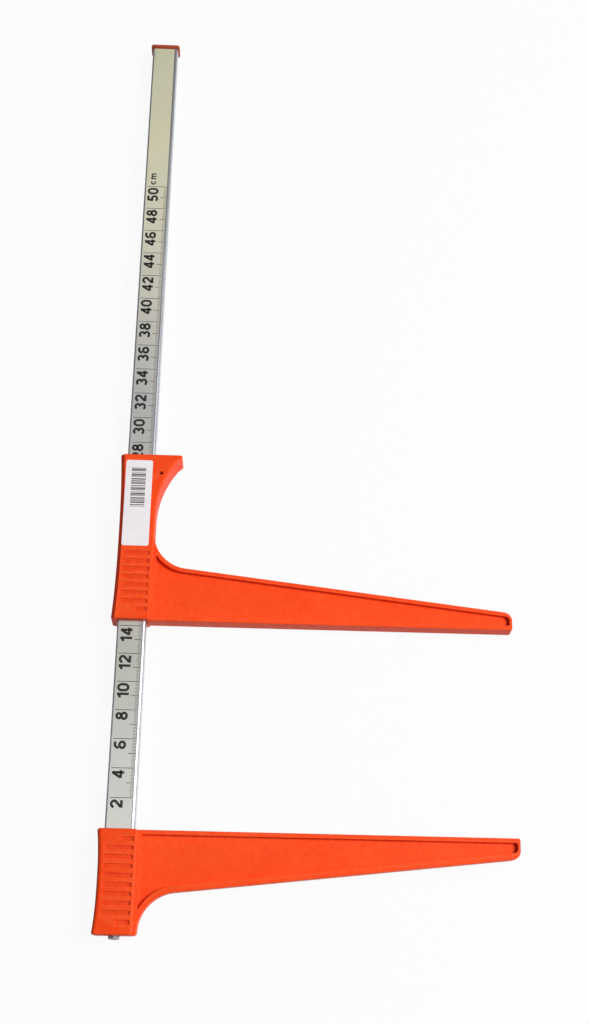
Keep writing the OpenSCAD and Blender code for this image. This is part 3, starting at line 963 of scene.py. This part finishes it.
def keep_edges(piece):
    mesh = piece.data
    sharpness = [0.0] * len(mesh.vertices)
    normals = {}
    for face in mesh.polygons:
        for key in face.edge_keys:
            normals.setdefault(key, []).append(face.normal)
    for key, sides in normals.items():
        if len(sides) == 2:
            turned = sides[0].angle(sides[1], 0.0)
            for vertex in key:
                sharpness[vertex] = max(sharpness[vertex], min(1.0, turned / math.radians(30)))
    layer = mesh.attributes.new("edge", "FLOAT", "POINT")
    layer.data.foreach_set("value", sharpness)


# %% Group: rubbed edges
rubbed, given, out = new_group(
    "rubbed edges", [("Amount", NUMBER, 0.5), ("Scale", NUMBER, 300.0)], [("Mask", NUMBER)]
)
edge = rubbed.nodes.new("ShaderNodeAttribute")
edge.attribute_name = "edge"
place = node(rubbed, "ShaderNodeTexCoord").outputs["Object"]
broken = node(rubbed, "ShaderNodeTexNoise", Vector=place, Scale=given["Scale"], Detail=3.0)
patchy = maths(rubbed, "MULTIPLY", edge.outputs["Fac"], broken.outputs["Fac"])
rubbed.links.new(maths(rubbed, "MULTIPLY", patchy, given["Amount"]), out["Mask"])


# %% Start a material
def use_group(tree, group, **inputs):
    made = tree.nodes.new("ShaderNodeGroup")
    made.node_tree = group
    for name, value in inputs.items():
        if isinstance(value, bpy.types.NodeSocket):
            tree.links.new(value, made.inputs[name])
        else:
            made.inputs[name].default_value = value
    return made


def new_finish(name, metallic=0.0, roughness=0.5):
    material = bpy.data.materials.new(name)
    material.use_nodes = True
    tree = material.node_tree
    shader = tree.nodes["Principled BSDF"]
    shader.inputs["Metallic"].default_value = metallic
    shader.inputs["Roughness"].default_value = roughness
    return material, tree, shader


def add_bump(tree, shader, height, depth):
    bump = node(tree, "ShaderNodeBump", Height=height, Strength=1.0, Distance=depth)
    tree.links.new(bump.outputs["Normal"], shader.inputs["Normal"])


def between(tree, mask, low, high):
    made = node(tree, "ShaderNodeMapRange", Value=mask, To_Min=low, To_Max=high)
    return made.outputs["Result"]


# %% [markdown]
# The orange plastic is a strong red orange. Its colour drifts a little, the grain makes the broad faces
# satin, and rubbed edges are smoother and paler: the paler colour is partly wear and partly a painted
# highlight. The grip grooves and the foot of the hollows' walls are painted a little darker, as painted
# shade, broken up by a grain. Its specular level is low, or its steep sides would mirror the white table. The
# cap is the same plastic, painted darker and browner as painted shade.


# %% Finishes: the plastic of the jaws and of the cap
def mix_by(tree, mask, one, colour):
    """Goes from one colour to another where the mask is 1."""
    made = node(tree, "ShaderNodeMix")
    made.data_type = "RGBA"
    tree.links.new(mask, made.inputs[0])
    tree.links.new(one, made.inputs[6])
    made.inputs[7].default_value = colour
    return made.outputs[2]


def plastic(name, one, other, painted_shade_colour, worn_and_highlight_colour):
    material, tree, shader = new_finish(name)
    shader.inputs["Specular IOR Level"].default_value = 0.08
    colour = use_group(tree, drift, Color=one, Other=other, Scale=40.0)
    low = tree.nodes.new("ShaderNodeAttribute")
    low.attribute_name = "low"
    shade_grain = use_group(tree, grain, Scale=500.0, Unevenness=0.5)
    # painted shade: the grooves' floors and the foot of the hollows' walls are darkened, broken up by a grain
    painted_shade = maths(tree, "MULTIPLY", low.outputs["Fac"], shade_grain.outputs["Height"])
    shaded_colour = mix_by(tree, painted_shade, colour.outputs["Color"], painted_shade_colour)
    wear_and_highlight_mask = use_group(tree, rubbed, Amount=0.7, Scale=260.0)
    # the paler edge colour is partly wear and partly a painted highlight on the rounded edges
    tree.links.new(mix_by(tree, wear_and_highlight_mask.outputs["Mask"], shaded_colour, worn_and_highlight_colour), shader.inputs["Base Color"])
    tree.links.new(between(tree, wear_and_highlight_mask.outputs["Mask"], 0.44, 0.26), shader.inputs["Roughness"])
    pits = use_group(tree, grain, Scale=1400.0, Unevenness=0.5)
    add_bump(tree, shader, pits.outputs["Height"], 0.0001)
    return material


orange = plastic(
    "orange plastic",
    one=(0.86, 0.044, 0.004, 1),
    other=(0.92, 0.058, 0.007, 1),
    painted_shade_colour=(0.72, 0.024, 0.002, 1),
    worn_and_highlight_colour=(0.95, 0.15, 0.044, 1),
)
# painted shade: the cap's plastic is a darker, browner copy of the orange plastic
shaded_cap_plastic = plastic(
    "cap plastic with painted shade",
    one=(0.42, 0.06, 0.02, 1),
    other=(0.50, 0.075, 0.03, 1),
    painted_shade_colour=(0.35, 0.03, 0.01, 1),
    worn_and_highlight_colour=(0.55, 0.14, 0.07, 1),
)

# %% [markdown]
# The beam is drawn aluminium with a satin anodised skin. The lines run along Y. The strip is a printed foil
# of pale grey. Its sheen is painted into its colour: paler near the fixed jaw, darker at the middle and paler
# again further on, and yellower towards its far end. A colour ramp along Y goes through these greys.

# %% Finishes: aluminium and printed foil
aluminium, tree, shader = new_finish("anodised aluminium", metallic=1.0)
drawn = use_group(tree, lines_group, Stretch=(2600.0, 14.0, 2600.0))
colour = use_group(tree, drift, Color=(0.60, 0.62, 0.66, 1), Other=(0.68, 0.70, 0.73, 1), Scale=30.0)
tree.links.new(colour.outputs["Color"], shader.inputs["Base Color"])
tree.links.new(between(tree, drawn.outputs["Lines"], 0.34, 0.46), shader.inputs["Roughness"])
add_bump(tree, shader, drawn.outputs["Height"], 0.00002)

foil, tree, shader = new_finish("printed foil", roughness=0.42)
place = node(tree, "ShaderNodeTexCoord").outputs["Object"]
axes = node(tree, "ShaderNodeSeparateXYZ", Vector=place)
along = node(tree, "ShaderNodeMapRange", Value=axes.outputs["Y"], From_Min=0.0, From_Max=beam_high.y)
# painted sheen: the foil's brightness along Y stands in for its changing reflection
sheen_ramp = node(tree, "ShaderNodeValToRGB", Fac=along.outputs["Result"])
ramp = sheen_ramp.color_ramp.elements
ramp[0].color = (0.66, 0.68, 0.64, 1)
ramp[1].color = (0.58, 0.57, 0.41, 1)
ramp.new(0.2).color = (0.49, 0.49, 0.44, 1)
ramp.new(0.5).color = (0.46, 0.455, 0.445, 1)
ramp.new(0.72).color = (0.64, 0.62, 0.50, 1)
ramp.new(0.85).color = (0.66, 0.635, 0.46, 1)
darker = node(tree, "ShaderNodeVectorMath")
darker.operation = "SCALE"
tree.links.new(sheen_ramp.outputs["Color"], darker.inputs[0])
darker.inputs["Scale"].default_value = 0.93
colour = use_group(tree, drift, Color=sheen_ramp.outputs["Color"], Other=darker.outputs[0], Scale=55.0)
tree.links.new(colour.outputs["Color"], shader.inputs["Base Color"])
film = use_group(tree, grain, Scale=2500.0, Unevenness=0.2)
add_bump(tree, shader, film.outputs["Height"], 0.00001)

# %% [markdown]
# Ink, sticker film, plated steel, brass and the glides' slippery plastic are simpler. Each one still has its
# own grain, so that none of them looks like a plain colour up close.


# %% Finishes: ink, film, glide plastic, zinc and brass
def plain_finish(name, one, other, roughness, grain_scale, grain_depth, metallic=0.0):
    material, tree, shader = new_finish(name, metallic)
    colour = use_group(tree, drift, Color=one, Other=other, Scale=120.0)
    tree.links.new(colour.outputs["Color"], shader.inputs["Base Color"])
    uneven = between(tree, colour.outputs["Drift"], roughness, roughness + 0.12)
    tree.links.new(uneven, shader.inputs["Roughness"])
    surface = use_group(tree, grain, Scale=grain_scale, Unevenness=0.3)
    add_bump(tree, shader, surface.outputs["Height"], grain_depth)
    return material


ink = plain_finish("black ink", (0.012, 0.012, 0.012, 1), (0.022, 0.021, 0.02, 1), 0.5, 4000.0, 0.000004)
line_ink = plain_finish("line ink", (0.035, 0.035, 0.033, 1), (0.05, 0.05, 0.045, 1), 0.5, 4000.0, 0.000004)
sticker = plain_finish("sticker film", (0.83, 0.79, 0.82, 1), (0.87, 0.83, 0.86, 1), 0.4, 900.0, 0.00001)
bar_ink = plain_finish("sticker ink", (0.05, 0.05, 0.05, 1), (0.09, 0.09, 0.09, 1), 0.5, 4000.0, 0.000004)
glide = plain_finish("glide plastic", (0.80, 0.78, 0.70, 1), (0.85, 0.83, 0.77, 1), 0.35, 1200.0, 0.00002)
zinc = plain_finish("zinc plate", (0.40, 0.41, 0.42, 1), (0.50, 0.51, 0.52, 1), 0.55, 1500.0, 0.00002, 0.25)
brass = plain_finish("turned brass", (0.62, 0.43, 0.14, 1), (0.72, 0.52, 0.20, 1), 0.26, 1500.0, 0.00002, 1.0)
print("finishes:", len(bpy.data.materials))

# %% [markdown]
# ## Dress the pieces
#
# Each new piece gets its finish and the body it moves with, and the solid it replaces is hidden. The solids
# that stay get their finish in their own material slots.


# %% Give every piece its finish and its body
def dress(piece, finish, body):
    piece.data.materials.clear()
    piece.data.materials.append(finish)
    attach(piece, body)


grip_start, slide_grip_end, fixed_grip_end = 4 * MM, 55 * MM, 64 * MM
keep_lows(slide_head, slide_face + grip_start, slide_face + slide_grip_end)
keep_lows(fixed_head, -fixed_grip_end, -grip_start)
keep_lows(cap, 0, 0)
plastic_pieces = ((slide_head, orange, "slider"), (fixed_head, orange, "frame"), (cap, shaded_cap_plastic, "frame"))
for piece, finish, body in plastic_pieces:
    keep_edges(piece)
    dress(piece, finish, body)
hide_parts("sliding_jaw")
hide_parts("fixed_jaw")
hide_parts("end_cap")
for piece in line_pieces:
    dress(piece, line_ink, "frame")
dress(numbers, ink, "frame")
dress(beam, aluminium, "frame")
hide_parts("beam")
dress(sticker_plate, sticker, "slider")
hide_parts("label")
dress(bars, bar_ink, "slider")

kept = {
    "scale_strip": foil,
    "clamp_bolt": zinc,
    "bolt_washer": zinc,
    "anchor_plug": zinc,
    "anchor_pins": zinc,
    "lower_adjuster": brass,
    "upper_adjuster": brass,
}
for name in glides:
    kept[name] = glide
for name, finish in kept.items():
    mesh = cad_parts[name].data
    mesh.materials.clear()
    mesh.materials.append(finish)
print("kept solids:", len(kept))
